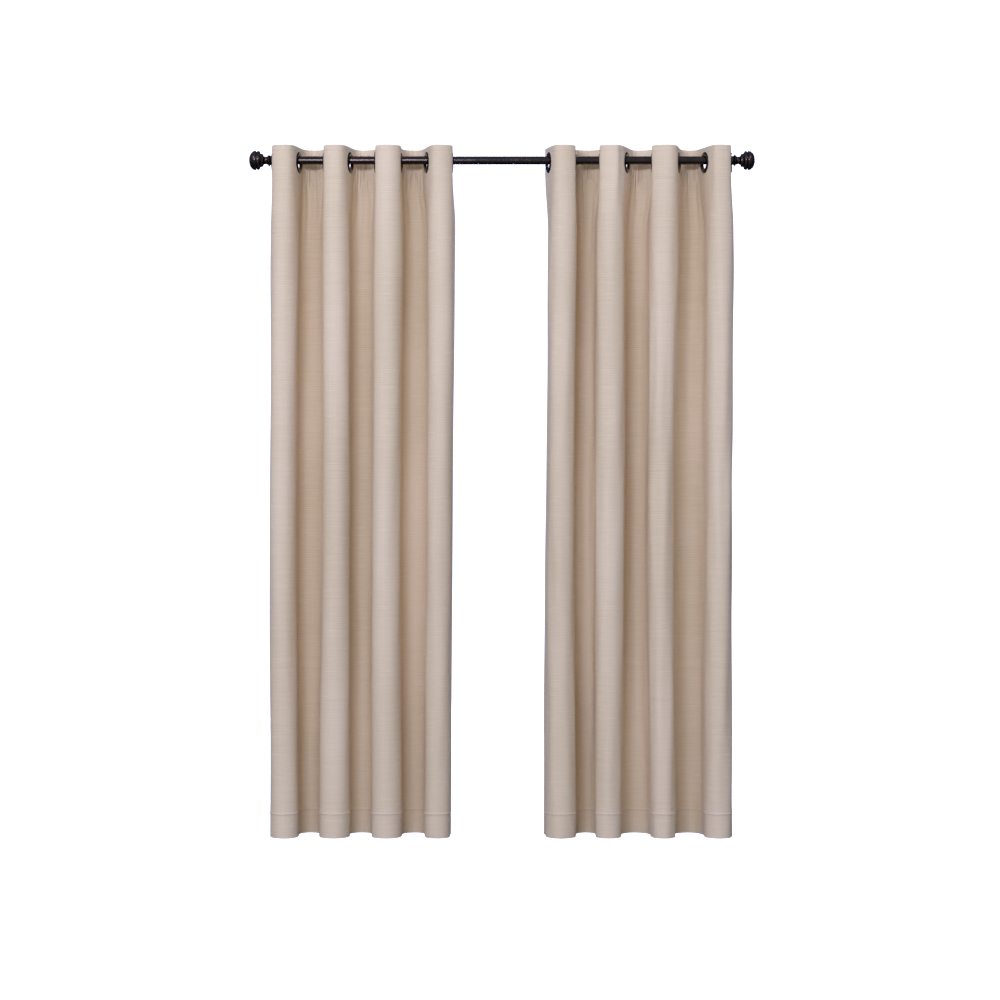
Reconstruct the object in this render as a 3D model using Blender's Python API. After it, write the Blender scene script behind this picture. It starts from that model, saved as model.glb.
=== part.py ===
"""A pair of grommet-top curtain panels hanging on a round rod.

Units are metres, +Z is up. X runs along the rod, the room is on the -Y side,
and the wall is the plane Y = 0. The origin lies on the wall plane, level with
the rod's axis and midway between its ends.

Each panel is one length of cloth with eight grommets. It crosses the rod at
each grommet and swings to the front and to the back in turn, so from grommet
to grommet it forms a half wave. The cloth between two neighbouring crests is
one strip here, and the strips are hinged to each other at the crests, which
is how the folds open when the panel is drawn and close when it is stacked.
"""

import math

import bmesh
import bpy
from mathutils import Matrix, Vector

MM = 0.001

# ---------------------------------------------------------------- dimensions
ROD_Y = -89.0          # rod axis, in front of the wall (3.5 in projection)
ROD_R = 12.7           # 1 in rod
ROD_WALL = 1.0
ROD_HALF = 716.5       # half the tube's length
GAP = 0.3              # between touching pieces

GROMMETS = 8           # on each panel
SPACING = 178.0        # along the cloth, centre to centre (7 in)
MARGIN = 37.5          # from the last grommet to the cloth's side edge
FLAT_RUN = 70.0        # the cloth lies flat under each grommet
CLOTH_T = 2.0          # header cloth, doubled over its stiffener
CLOTH_TOP = 40.5       # above the rod's axis
CLOTH_BOTTOM = -2093.0
CREST_GAP = 0.7        # half the gap between two strips at a crest

LEFT_OUTER = -709.0    # outermost grommet of each panel
RIGHT_OUTER = 709.0
LEFT_PITCH = 79.3      # from grommet to grommet along the rod
RIGHT_PITCH = 80.6

RING_IN = 20.0         # grommet for a 40 mm opening
RING_OUT = 33.0
RING_T = 3.0           # flange thickness on each face of the cloth
BARREL = 1.8           # wall of the tube that passes through the cloth
RING_SIDES = 16
RING_DROP = 6.8        # the grommet hangs on the rod, so its centre is lower

BRACKET_IN = 19.5      # bracket centre, inboard of the outermost grommet
BRACKET_W = 12.0
PLATE_W, PLATE_H, PLATE_T = 36.0, 76.0, 5.0
ARM_Z = -7.0
ARM_R = 5.0
CUP_T = 3.6
CUP_LIP = 3.0

STUD_R = 3.9
STUD_L = 20.0

# The finial's turned outline: radius and distance from the rod's middle
FINIAL = [
    (13.9, 714.6), (14.2, 716.6), (15.6, 718.6), (18.9, 720.0), (19.8, 721.3),
    (18.6, 722.8), (15.0, 724.4), (12.6, 727.6), (11.6, 731.4), (12.0, 735.2),
    (14.6, 737.2), (18.6, 739.2), (20.2, 743.6), (21.4, 746.4), (24.8, 748.2),
    (28.2, 751.6), (29.4, 755.4), (28.6, 758.6), (26.0, 760.0), (28.8, 761.5),
    (30.0, 764.8), (29.2, 768.9), (26.6, 773.4), (22.2, 777.6), (15.6, 781.3),
    (7.6, 783.3),
]
FINIAL_TIP = 783.8
SOCKET_R = 13.0        # the finial's socket closes over the end of the rod
SOCKET_END = 716.8

for old in list(bpy.data.objects):
    bpy.data.objects.remove(old, do_unlink=True)


# ----------------------------------------------------------------- materials
def material(name, colour, roughness, metallic):
    mat = bpy.data.materials.new(name)
    mat.use_nodes = True
    shader = mat.node_tree.nodes["Principled BSDF"]
    shader.inputs["Base Color"].default_value = (*colour, 1.0)
    shader.inputs["Roughness"].default_value = roughness
    shader.inputs["Metallic"].default_value = metallic
    return mat


LINEN = material("linen_cloth", (0.66, 0.57, 0.48), 0.85, 0.0)
BRONZE = material("dark_bronze", (0.022, 0.018, 0.016), 0.33, 0.7)
GROMMET = material("grommet_bronze", (0.03, 0.024, 0.02), 0.38, 0.8)
STEEL = material("zinc_steel", (0.45, 0.45, 0.44), 0.4, 1.0)
NYLON = material("black_nylon", (0.02, 0.02, 0.02), 0.5, 0.0)


# ------------------------------------------------------------------- helpers
def finish(name, bm, mat, location=(0, 0, 0), parent=None, smooth=True):
    """A named object from a bmesh in millimetres, placed in the world."""
    bmesh.ops.scale(bm, vec=(MM, MM, MM), verts=bm.verts)
    bmesh.ops.recalc_face_normals(bm, faces=bm.faces)
    mesh = bpy.data.meshes.new(name)
    bm.to_mesh(mesh)
    bm.free()
    mesh.materials.append(mat)
    if smooth:
        mesh.shade_smooth()
        mesh.set_sharp_from_angle(angle=math.radians(35))
    obj = bpy.data.objects.new(name, mesh)
    bpy.context.scene.collection.objects.link(obj)
    place(obj, location, parent)
    return obj


def place(obj, location, parent=None):
    world = Vector(location) * MM
    if parent is not None:
        obj.parent = parent
        world = world - axis_points[parent.name]
    obj.location = world


axis_points = {}


def axis_empty(name, location, parent=None):
    """An empty on a joint's axis, which carries what turns there."""
    empty = bpy.data.objects.new(name, None)
    empty.empty_display_size = 0.03
    bpy.context.scene.collection.objects.link(empty)
    place(empty, location, parent)
    axis_points[name] = Vector(location) * MM
    return empty


def turned(profile, sides, matrix, phase=0.0):
    """A profile of (radius, height) turned about Z, then moved by matrix."""
    bm = bmesh.new()
    verts = [bm.verts.new((r, 0.0, h)) for r, h in profile]
    edges = [
        bm.edges.new((verts[i], verts[i + 1])) for i in range(len(verts) - 1)
    ]
    if profile[0][0] > 1e-6 or profile[-1][0] > 1e-6:
        edges.append(bm.edges.new((verts[-1], verts[0])))
    bmesh.ops.spin(
        bm,
        geom=verts + edges,
        cent=(0, 0, 0),
        axis=(0, 0, 1),
        angle=2 * math.pi,
        steps=sides,
        use_merge=True,
    )
    bmesh.ops.remove_doubles(bm, verts=bm.verts, dist=1e-4)
    if phase:
        bmesh.ops.rotate(
            bm, cent=(0, 0, 0), matrix=Matrix.Rotation(phase, 3, "Z"),
            verts=bm.verts,
        )
    bmesh.ops.transform(bm, matrix=matrix, verts=bm.verts)
    return bm


def extruded(outline, matrix, height):
    """A flat outline in XY extruded along Z, then moved by matrix."""
    bm = bmesh.new()
    face = bm.faces.new([bm.verts.new((x, y, 0.0)) for x, y in outline])
    grown = bmesh.ops.extrude_face_region(bm, geom=[face])
    top = [v for v in grown["geom"] if isinstance(v, bmesh.types.BMVert)]
    bmesh.ops.translate(bm, vec=(0, 0, height), verts=top)
    bmesh.ops.transform(bm, matrix=matrix, verts=bm.verts)
    return bm


def cut(obj, name, bm, location, parent=None, operation="DIFFERENCE"):
    """A Boolean with a hidden tool, which is drawn as a wire."""
    tool = finish(name, bm, STEEL, location, parent, smooth=False)
    tool.hide_render = True
    tool.hide_viewport = True
    tool.display_type = "WIRE"
    step = obj.modifiers.new(name, "BOOLEAN")
    step.operation = operation
    step.solver = "EXACT"
    step.object = tool
    return tool


# Z of a turned piece onto +X, -X, +Y or an upright
ALONG_X = Matrix.Rotation(math.radians(90), 4, "Y")
ALONG_NEG_X = Matrix.Rotation(math.radians(-90), 4, "Y")
ALONG_Y = Matrix.Rotation(math.radians(-90), 4, "X")


# ------------------------------------------------------------- fold geometry
def lean_for(pitch):
    """The cloth's lean at a grommet that makes a half wave span one pitch."""
    low, high = 0.0, math.radians(40)
    for _ in range(60):
        lean = (low + high) / 2
        radius = (SPACING - FLAT_RUN) / (math.pi - 2 * lean)
        span = FLAT_RUN * math.sin(lean) + 2 * radius * math.cos(lean)
        if span < pitch:
            low = lean
        else:
            high = lean
    return lean


def half_wave(lean, side, steps=6):
    """From a grommet to the next crest, in the plane of the rod.

    Points are (along the rod, towards the wall). side is -1 for a crest at
    the front and 1 for one at the back.
    """
    radius = (SPACING - FLAT_RUN) / (math.pi - 2 * lean)
    half = FLAT_RUN / 2
    start = Vector((half * math.sin(lean), side * half * math.cos(lean)))
    centre = start + radius * Vector((math.cos(lean), -side * math.sin(lean)))
    stop = math.pi / 2 - CREST_GAP / radius
    points = []
    for i in range(steps + 1):
        a = lean + (stop - lean) * i / steps
        points.append(
            (
                centre.x - radius * math.cos(a),
                centre.y + side * radius * math.sin(a),
            )
        )
    return points


def crest_reach(lean):
    radius = (SPACING - FLAT_RUN) / (math.pi - 2 * lean)
    return FLAT_RUN / 2 * math.cos(lean) + radius * (1 - math.sin(lean))


def thick_outline(line, thickness):
    """Both sides of a line, so that it becomes a band of that thickness."""
    normals = []
    for i in range(len(line)):
        ax, ay = line[max(i - 1, 0)]
        bx, by = line[min(i + 1, len(line) - 1)]
        d = Vector((bx - ax, by - ay)).normalized()
        normals.append(Vector((-d.y, d.x)))
    offset = thickness / 2
    one = [
        (p[0] + n.x * offset, p[1] + n.y * offset)
        for p, n in zip(line, normals)
    ]
    two = [
        (p[0] - n.x * offset, p[1] - n.y * offset)
        for p, n in zip(line, normals)
    ]
    return one + two[::-1]


def strip_line(index, lean):
    """The middle line of strip index, 1 being the outermost.

    It is measured from the strip's own grommet. Odd strips run from the
    wall side to the room side.
    """
    side = -1 if index % 2 else 1
    ahead = half_wave(lean, side)
    behind = [(-x, -y) for x, y in half_wave(lean, side)][::-1]
    dx, dy = math.sin(lean), side * math.cos(lean)
    if index == 1:
        behind = [(-dx * MARGIN, -dy * MARGIN)]
    if index == GROMMETS:
        ahead = [(dx * MARGIN, dy * MARGIN)]
    return behind + ahead, (dx, dy)


# ------------------------------------------------------------------ one panel
def panel(prefix, outer, pitch, way):
    """Eight strips with their grommets. way is +1 where the panel is drawn
    towards +X and -1 where it is drawn towards -X."""
    lean = lean_for(pitch)
    reach = crest_reach(lean)
    carrier = None
    for k in range(1, GROMMETS + 1):
        gx = outer + way * pitch * (k - 1)
        if k == 1:
            pivot = (outer, ROD_Y, 0.0)
        else:
            side = 1 if k % 2 else -1
            pivot = (gx - way * pitch / 2, ROD_Y + side * reach, 0.0)
        carrier = axis_empty(f"{prefix}_fold_axis_{k}", pivot, carrier)

        line, (dx, dy) = strip_line(k, lean)
        line = [(way * x, y) for x, y in line]
        height = CLOTH_TOP - CLOTH_BOTTOM
        strip = finish(
            f"{prefix}_panel_strip_{k}",
            extruded(
                thick_outline(line, CLOTH_T),
                Matrix.Translation((0, 0, CLOTH_BOTTOM)),
                height,
            ),
            LINEN,
            (gx, ROD_Y, 0.0),
            carrier,
        )

        # The grommet's axis is the cloth's normal, pointing out of its face.
        normal = Vector((way * dx, dy, 0.0))
        normal = Vector((normal.y, -normal.x, 0.0)) * way
        turn = normal.to_track_quat("Z", "Y").to_matrix().to_4x4()
        centre = (gx, ROD_Y, -RING_DROP)
        grow = 1.0 / math.cos(math.pi / RING_SIDES)
        barrel = RING_IN + BARREL
        face = CLOTH_T / 2 + GAP
        cut(
            strip,
            f"{prefix}_eyelet_hole_{k}",
            turned(
                [
                    (0.0, -8.0), ((barrel + GAP) * grow, -8.0),
                    ((barrel + GAP) * grow, 8.0), (0.0, 8.0),
                ],
                RING_SIDES, turn,
            ),
            centre,
            carrier,
        )
        finish(
            f"{prefix}_grommet_{k}",
            turned(
                [
                    (RING_IN * grow, -face - RING_T),
                    (barrel * grow, -face - RING_T),
                    (barrel * grow, face),
                    (RING_OUT * grow, face),
                    ((RING_OUT - 1.6) * grow, face + RING_T * 0.55),
                    ((RING_IN + 6.0) * grow, face + RING_T),
                    (RING_IN * grow, face + RING_T * 0.6),
                ],
                RING_SIDES, turn,
            ),
            GROMMET,
            centre,
            carrier,
        )
        finish(
            f"{prefix}_grommet_washer_{k}",
            turned(
                [
                    ((barrel + GAP) * grow, -face),
                    (RING_OUT * grow, -face),
                    ((RING_OUT - 1.6) * grow, -face - RING_T * 0.55),
                    ((RING_IN + 6.0) * grow, -face - RING_T),
                    ((barrel + GAP) * grow, -face - RING_T * 0.8),
                ],
                RING_SIDES, turn,
            ),
            GROMMET,
            centre,
            carrier,
        )


# ------------------------------------------------------------ rod and finials
def rod():
    finish(
        "curtain_rod",
        turned(
            [
                (ROD_R - ROD_WALL, -ROD_HALF), (ROD_R, -ROD_HALF),
                (ROD_R, ROD_HALF), (ROD_R - ROD_WALL, ROD_HALF),
            ],
            32, ALONG_X,
        ),
        BRONZE,
        (0, ROD_Y, 0),
    )


def rod_end(prefix, way):
    matrix = ALONG_X if way > 0 else ALONG_NEG_X
    bore = STUD_R + GAP
    body = ROD_R - ROD_WALL - GAP
    finish(
        f"{prefix}_rod_insert",
        turned(
            [
                (0.0, ROD_HALF - 32.0), (body - 1.2, ROD_HALF - 32.0),
                (body, ROD_HALF - 29.0), (body, ROD_HALF),
                (bore, ROD_HALF), (bore, ROD_HALF - 26.0),
                (0.0, ROD_HALF - 26.0),
            ],
            24, matrix,
        ),
        NYLON,
        (0, ROD_Y, 0),
    )
    axis = axis_empty(f"{prefix}_finial_axis", (way * ROD_HALF, ROD_Y, 0))
    stud = [
        (0.0, ROD_HALF - STUD_L), (STUD_R - 0.8, ROD_HALF - STUD_L),
        (STUD_R, ROD_HALF - STUD_L + 1.2), (STUD_R, SOCKET_END),
        (SOCKET_R, SOCKET_END), (SOCKET_R, FINIAL[0][1]),
    ]
    finish(
        f"{prefix}_finial",
        turned(stud + FINIAL + [(0.0, FINIAL_TIP)], 24, matrix),
        BRONZE,
        (0, ROD_Y, 0),
        axis,
    )


# -------------------------------------------------------------------- bracket
def rounded_rectangle(width, height, radius, steps=4):
    points = []
    for cx, cy, start in (
        (width / 2 - radius, height / 2 - radius, 0),
        (-width / 2 + radius, height / 2 - radius, 90),
        (-width / 2 + radius, -height / 2 + radius, 180),
        (width / 2 - radius, -height / 2 + radius, 270),
    ):
        for i in range(steps + 1):
            a = math.radians(start + 90 * i / steps)
            points.append((cx + radius * math.cos(a), cy + radius * math.sin(a)))
    return points


def cup_outline(radius, top, steps):
    """A half round with straight sides up to top, in the YZ plane."""
    points = [(radius, top)]
    for i in range(steps + 1):
        a = -math.pi * i / steps
        points.append((radius * math.cos(a), radius * math.sin(a)))
    points.append((-radius, top))
    return points


# a flat outline's (x, y) onto (Y, Z), extruded along +X
YZ = Matrix(((0, 0, 1, 0), (1, 0, 0, 0), (0, 1, 0, 0), (0, 0, 0, 1)))
# a flat outline's (x, y) onto (X, Z), extruded along -Y
XZ = Matrix(((1, 0, 0, 0), (0, 0, -1, 0), (0, 1, 0, 0), (0, 0, 0, 1)))


def bracket(prefix, x):
    plate = finish(
        f"{prefix}_wall_plate",
        extruded(rounded_rectangle(PLATE_W, PLATE_H, 8.0), XZ, PLATE_T),
        BRONZE,
        (x, 0.0, ARM_Z),
    )
    cut(
        plate, f"{prefix}_tenon_hole",
        turned(
            [(0, -2), (ARM_R + GAP, -2), (ARM_R + GAP, 8), (0, 8)],
            20, Matrix.Rotation(math.radians(90), 4, "X"),
        ),
        (x, 0.0, ARM_Z),
    )
    for i, dz in ((1, 26.0), (2, -26.0)):
        cut(
            plate, f"{prefix}_screw_hole_{i}",
            turned(
                [
                    (0, -2), (2.4, -2), (2.4, PLATE_T - 2.4),
                    (5.0, PLATE_T + 0.2), (5.0, 8), (0, 8),
                ],
                16, Matrix.Rotation(math.radians(90), 4, "X"),
            ),
            (x, 0.0, ARM_Z + dz),
        )

    outer = ROD_R + GAP + CUP_T
    arm = finish(
        f"{prefix}_bracket_arm",
        extruded(
            cup_outline(outer, CUP_LIP, 14),
            Matrix.Translation((-BRACKET_W / 2, 0, 0)) @ YZ,
            BRACKET_W,
        ),
        BRONZE,
        (x, ROD_Y, 0.0),
    )
    # The arm runs from inside the wall plate to the cup, with a collar
    # against the plate's face.
    length = -ROD_Y - 0.5
    collar = -ROD_Y - PLATE_T - GAP
    cut(
        arm, f"{prefix}_arm_bar",
        turned(
            [
                (0, 8.0), (ARM_R, 8.0), (ARM_R, collar - 5.0),
                (ARM_R + 3.0, collar - 3.0), (ARM_R + 3.0, collar),
                (ARM_R, collar), (ARM_R, length), (0, length),
            ],
            20, ALONG_Y,
        ),
        (x, ROD_Y, ARM_Z),
        operation="UNION",
    )
    cut(
        arm, f"{prefix}_cup_bore",
        extruded(
            cup_outline((ROD_R + GAP) / math.cos(math.pi / 32), 20.0, 16),
            Matrix.Translation((-BRACKET_W, 0, 0)) @ YZ,
            2 * BRACKET_W,
        ),
        (x, ROD_Y, 0.0),
    )
    cut(
        arm, f"{prefix}_set_screw_hole",
        turned(
            [(0, -24.0), (2.5, -24.0), (2.5, -6.0), (0, -6.0)],
            16, Matrix.Identity(4),
        ),
        (x, ROD_Y, 0.0),
    )
    axis = axis_empty(f"{prefix}_set_screw_axis", (x, ROD_Y, 0.0))
    tip = -(ROD_R + GAP)
    head = -(outer + GAP + 0.2)
    finish(
        f"{prefix}_set_screw",
        turned(
            [
                (0, tip), (1.4, tip), (2.1, tip - 0.8), (2.1, head),
                (5.2, head), (5.8, head - 0.8), (5.8, head - 4.4),
                (5.0, head - 5.2), (0, head - 5.2),
            ],
            16, Matrix.Identity(4),
        ),
        BRONZE,
        (x, ROD_Y, 0.0),
        axis,
    )


rod()
rod_end("left", -1)
rod_end("right", 1)
bracket("left", LEFT_OUTER + BRACKET_IN)
bracket("right", RIGHT_OUTER - BRACKET_IN)
panel("left", LEFT_OUTER, LEFT_PITCH, 1)
panel("right", RIGHT_OUTER, RIGHT_PITCH, -1)
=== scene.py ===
"""The looks of a pair of grommet-top curtain panels on a rod.

Lengths inside the shape functions are in millimetres, in the frame's own
axes: X along the rod, -Y into the room, Z up, the wall at Y = 0 and the rod's
axis at Z = 0. Meshes are written in metres.
"""

import math

import bmesh
import bpy
import numpy as np
from mathutils import Matrix, Vector


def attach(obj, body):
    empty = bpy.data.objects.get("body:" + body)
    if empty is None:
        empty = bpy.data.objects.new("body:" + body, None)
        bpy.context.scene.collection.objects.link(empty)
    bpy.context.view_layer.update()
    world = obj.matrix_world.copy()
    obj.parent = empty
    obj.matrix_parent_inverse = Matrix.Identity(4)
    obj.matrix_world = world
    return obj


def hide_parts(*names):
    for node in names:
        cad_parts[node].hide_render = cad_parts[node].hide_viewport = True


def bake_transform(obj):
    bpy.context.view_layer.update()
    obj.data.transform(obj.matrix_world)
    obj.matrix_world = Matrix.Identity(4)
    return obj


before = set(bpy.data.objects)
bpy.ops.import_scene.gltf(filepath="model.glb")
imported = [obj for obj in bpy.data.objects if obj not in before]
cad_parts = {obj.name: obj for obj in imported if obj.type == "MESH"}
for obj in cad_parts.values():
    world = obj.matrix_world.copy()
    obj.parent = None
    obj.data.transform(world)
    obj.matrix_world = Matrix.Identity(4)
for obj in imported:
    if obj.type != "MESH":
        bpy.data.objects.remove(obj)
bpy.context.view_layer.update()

MM = 0.001

# The CAD's own dimensions, in millimetres.
ROD_Y, ROD_R, ROD_HALF = -89.0, 12.7, 716.5
GROMMETS, SPACING, MARGIN, FLAT_RUN = 8, 178.0, 37.5, 70.0
CLOTH_TOP, CLOTH_BOTTOM = 40.5, -2093.0
DROP = CLOTH_TOP - CLOTH_BOTTOM
WIDTH = SPACING * (GROMMETS - 1) + 2 * MARGIN
RING_DROP = 6.8
EYELET_V = CLOTH_TOP + RING_DROP
PANELS = {
    "left": {"outer": -709.0, "pitch": 79.3, "way": 1},
    "right": {"outer": 709.0, "pitch": 80.6, "way": -1},
}
BRACKET_IN = 19.5
ARM_Z = -7.0

# No two folds of a hung curtain are alike. Each front fold, counted from the
# panel's outer edge, is described at the header, half way down and at the hem
# by two lengths in whole millimetres: how far its middle stands to the right
# of its even place, and how much wider than even it is.
LEVELS = (45.0, 1150.0, 2134.0)
FOLDS = {
    "left": {
        "middle": ((-4, -2, 3), (-4, 1, -1), (0, -2, 3), (5, 3, 2)),
        "wider": ((-1, 0, 6), (-2, 1, 15), (4, 4, 12), (-2, -3, 0)),
    },
    "right": {
        "middle": ((7, 5, 6), (-5, -13, -3), (-11, -8, -9), (5, 1, 5)),
        "wider": ((-4, -2, 4), (5, -3, -7), (-2, 8, 0), (-1, -2, 10)),
    },
}
NECK = 5.0         # how much every fold fills out just below the stiff header
TILT_REACH, TILT_MOST = 35.0, 7.5


# ------------------------------------------------------------------ materials
class Nodes:
    """A short way to write a node tree."""

    def __init__(self, name):
        self.mat = bpy.data.materials.new(name)
        self.mat.use_nodes = True
        self.tree = self.mat.node_tree
        self.shader = self.tree.nodes["Principled BSDF"]

    def add(self, kind, **values):
        node = self.tree.nodes.new(kind)
        for key, value in values.items():
            setattr(node, key, value)
        return node

    def link(self, a, b):
        self.tree.links.new(a, b)

    def put(self, socket, value):
        if isinstance(value, bpy.types.NodeSocket):
            self.link(value, socket)
        else:
            socket.default_value = value

    def math(self, op, a, b=0.0, c=None, clamp=False):
        node = self.add("ShaderNodeMath", operation=op, use_clamp=clamp)
        self.put(node.inputs[0], a)
        self.put(node.inputs[1], b)
        if c is not None:
            self.put(node.inputs[2], c)
        return node.outputs[0]

    def mix(self, factor, a, b, blend="MIX"):
        node = self.add("ShaderNodeMix", data_type="RGBA", blend_type=blend)
        self.put(node.inputs[0], factor)
        self.put(node.inputs[6], a)
        self.put(node.inputs[7], b)
        return node.outputs[2]

    def noise(self, vector, scale, detail=2.0, rough=0.5, stretch=(1, 1, 1)):
        place = self.add("ShaderNodeMapping")
        place.inputs["Scale"].default_value = stretch
        self.link(vector, place.inputs["Vector"])
        node = self.add("ShaderNodeTexNoise")
        node.inputs["Scale"].default_value = scale
        node.inputs["Detail"].default_value = detail
        node.inputs["Roughness"].default_value = rough
        self.link(place.outputs["Vector"], node.inputs["Vector"])
        return node.outputs["Fac"]

    def remap(self, value, low, high, to_low=0.0, to_high=1.0, smooth=False):
        node = self.add("ShaderNodeMapRange")
        if smooth:
            node.interpolation_type = "SMOOTHSTEP"
        self.put(node.inputs["Value"], value)
        node.inputs["From Min"].default_value = low
        node.inputs["From Max"].default_value = high
        node.inputs["To Min"].default_value = to_low
        node.inputs["To Max"].default_value = to_high
        return node.outputs["Result"]

    def bump(self, height, distance, strength=1.0, normal=None):
        node = self.add("ShaderNodeBump")
        node.inputs["Strength"].default_value = strength
        node.inputs["Distance"].default_value = distance
        self.put(node.inputs["Height"], height)
        if normal is not None:
            self.link(normal, node.inputs["Normal"])
        return node.outputs["Normal"]


def cloth_material():
    """A slubbed plain weave: fine warp and weft, thicker weft yarns that come
    and go, and slightly uneven dye."""
    n = Nodes("slubbed_linen_weave")
    uv = n.add("ShaderNodeUVMap", uv_map="cloth").outputs["UV"]
    split = n.add("ShaderNodeSeparateXYZ")
    n.link(uv, split.inputs[0])
    across, down = split.outputs[0], split.outputs[1]

    # Weft yarns of uneven thickness: long thin streaks across the cloth.
    streak = n.noise(uv, 1.0, 3.0, 0.6, (5.0, 640.0, 1.0))
    slub = n.noise(uv, 1.0, 2.0, 0.55, (16.0, 330.0, 1.0))
    patch = n.noise(uv, 1.0, 1.0, 0.4, (21.0, 17.0, 1.0))
    dye = n.noise(uv, 1.0, 3.0, 0.5, (2.2, 1.3, 1.0))
    warps = n.noise(uv, 1.0, 2.0, 0.6, (420.0, 3.0, 1.0))
    thick = n.remap(slub, 0.55, 0.70, 0.0, 1.0, True)
    # Ribs where several thick yarns lie side by side, strongest in short runs.
    wobble = n.math("MULTIPLY", n.noise(uv, 1.0, 1.0, 0.5, (3.0, 40.0, 1.0)), 2.2)
    rib = n.math("SINE", n.math("ADD", n.math("MULTIPLY", down, 2 * math.pi / 0.0072), wobble))
    rib = n.math("MULTIPLY", rib, n.remap(patch, 0.54, 0.66, 0.22, 1.0, True))
    # The weave itself, which shows from close by.
    warp = n.math("SINE", n.math("MULTIPLY", across, 2 * math.pi / 0.0011))
    weft = n.math("SINE", n.math("MULTIPLY", down, 2 * math.pi / 0.0013))
    weave = n.math("MULTIPLY", warp, weft)

    light, dark = (0.85, 0.675, 0.368, 1), (0.545, 0.38, 0.165, 1)
    tone = n.math("ADD", n.math("MULTIPLY", streak, 0.30), n.math("MULTIPLY", thick, 0.09))
    tone = n.math("ADD", tone, n.math("MULTIPLY", rib, 0.05))
    tone = n.math("ADD", tone, n.math("MULTIPLY", weave, 0.05))
    tone = n.math("ADD", tone, n.math("MULTIPLY", warps, 0.10))
    tone = n.math("ADD", tone, n.math("MULTIPLY", dye, 0.28), clamp=True)
    base = n.mix(n.remap(tone, 0.10, 0.70, 0.0, 1.0), dark, light)
    warm = n.mix(n.remap(dye, 0.4, 0.62, 0.0, 0.2, True), base, (0.78, 0.59, 0.33, 1))
    n.link(warm, n.shader.inputs["Base Color"])

    height = n.math("ADD", n.math("MULTIPLY", streak, 0.35), n.math("MULTIPLY", thick, 0.35))
    height = n.math("ADD", height, n.math("MULTIPLY", rib, 0.13))
    height = n.math("ADD", height, n.math("MULTIPLY", weave, 0.22))
    n.link(n.bump(height, 0.0006, 0.6), n.shader.inputs["Normal"])
    n.link(n.remap(streak, 0.3, 0.7, 0.93, 0.78), n.shader.inputs["Roughness"])
    n.shader.inputs["Specular IOR Level"].default_value = 0.25
    n.shader.inputs["Sheen Weight"].default_value = 0.10
    n.shader.inputs["Sheen Roughness"].default_value = 0.45
    n.shader.inputs["Sheen Tint"].default_value = (0.95, 0.88, 0.80, 1)
    return n.mat


def thread_material():
    n = Nodes("linen_sewing_thread")
    uv = n.add("ShaderNodeUVMap", uv_map="cloth").outputs["UV"]
    ply = n.noise(uv, 1.0, 2.0, 0.6, (900.0, 900.0, 1.0))
    n.link(n.mix(ply, (0.60, 0.50, 0.40, 1), (0.76, 0.67, 0.57, 1)), n.shader.inputs["Base Color"])
    n.link(n.bump(ply, 0.0002, 0.6), n.shader.inputs["Normal"])
    n.shader.inputs["Roughness"].default_value = 0.7
    return n.mat


def bronze_material(name, rough, worn=0.25, warm=(0.16, 0.095, 0.06, 1), relief=0.3):
    """Oil-rubbed bronze: nearly black, a little browner in patches, with fine
    brushing under a thin clear coat."""
    n = Nodes(name)
    place = n.add("ShaderNodeTexCoord").outputs["Object"]
    cloud = n.noise(place, 26.0, 4.0, 0.6)
    speck = n.noise(place, 900.0, 2.0, 0.5)
    brush = n.noise(place, 1.0, 3.0, 0.6, (60.0, 1400.0, 1400.0))
    tone = n.remap(cloud, 0.42, 0.70, 0.0, worn, True)
    base = n.mix(tone, (0.044, 0.031, 0.018, 1), warm)
    base = n.mix(n.remap(speck, 0.62, 0.78, 0.0, 0.35), base, (0.10, 0.065, 0.045, 1))
    n.link(base, n.shader.inputs["Base Color"])
    n.link(
        n.math("ADD", n.remap(cloud, 0.3, 0.7, rough - 0.03, rough + 0.05), n.remap(brush, 0.3, 0.7, -0.02, 0.02)),
        n.shader.inputs["Roughness"],
    )
    height = n.math("ADD", n.math("MULTIPLY", brush, 0.6), n.math("MULTIPLY", speck, 0.4))
    n.link(n.bump(height, 0.00004, relief), n.shader.inputs["Normal"])
    n.shader.inputs["Metallic"].default_value = 1.0
    n.shader.inputs["Coat Weight"].default_value = 0.15
    n.shader.inputs["Coat Roughness"].default_value = 0.12
    n.shader.inputs["Coat IOR"].default_value = 1.4
    return n.mat


def nylon_material():
    n = Nodes("black_moulded_nylon")
    place = n.add("ShaderNodeTexCoord").outputs["Object"]
    grain = n.noise(place, 1500.0, 2.0, 0.5)
    n.link(n.mix(grain, (0.012, 0.012, 0.013, 1), (0.03, 0.03, 0.03, 1)), n.shader.inputs["Base Color"])
    n.link(n.bump(grain, 0.00008, 0.5), n.shader.inputs["Normal"])
    n.link(n.remap(grain, 0.3, 0.7, 0.42, 0.58), n.shader.inputs["Roughness"])
    return n.mat


CLOTH = cloth_material()
THREAD = thread_material()
ROD_METAL = bronze_material("dark_bronze_rod", 0.12, 0.12, relief=0.08)
CAST_METAL = bronze_material("dark_bronze_cast", 0.17, 0.3)
RING_METAL = bronze_material("dark_bronze_grommet", 0.18, 0.2)
NYLON = nylon_material()


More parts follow.
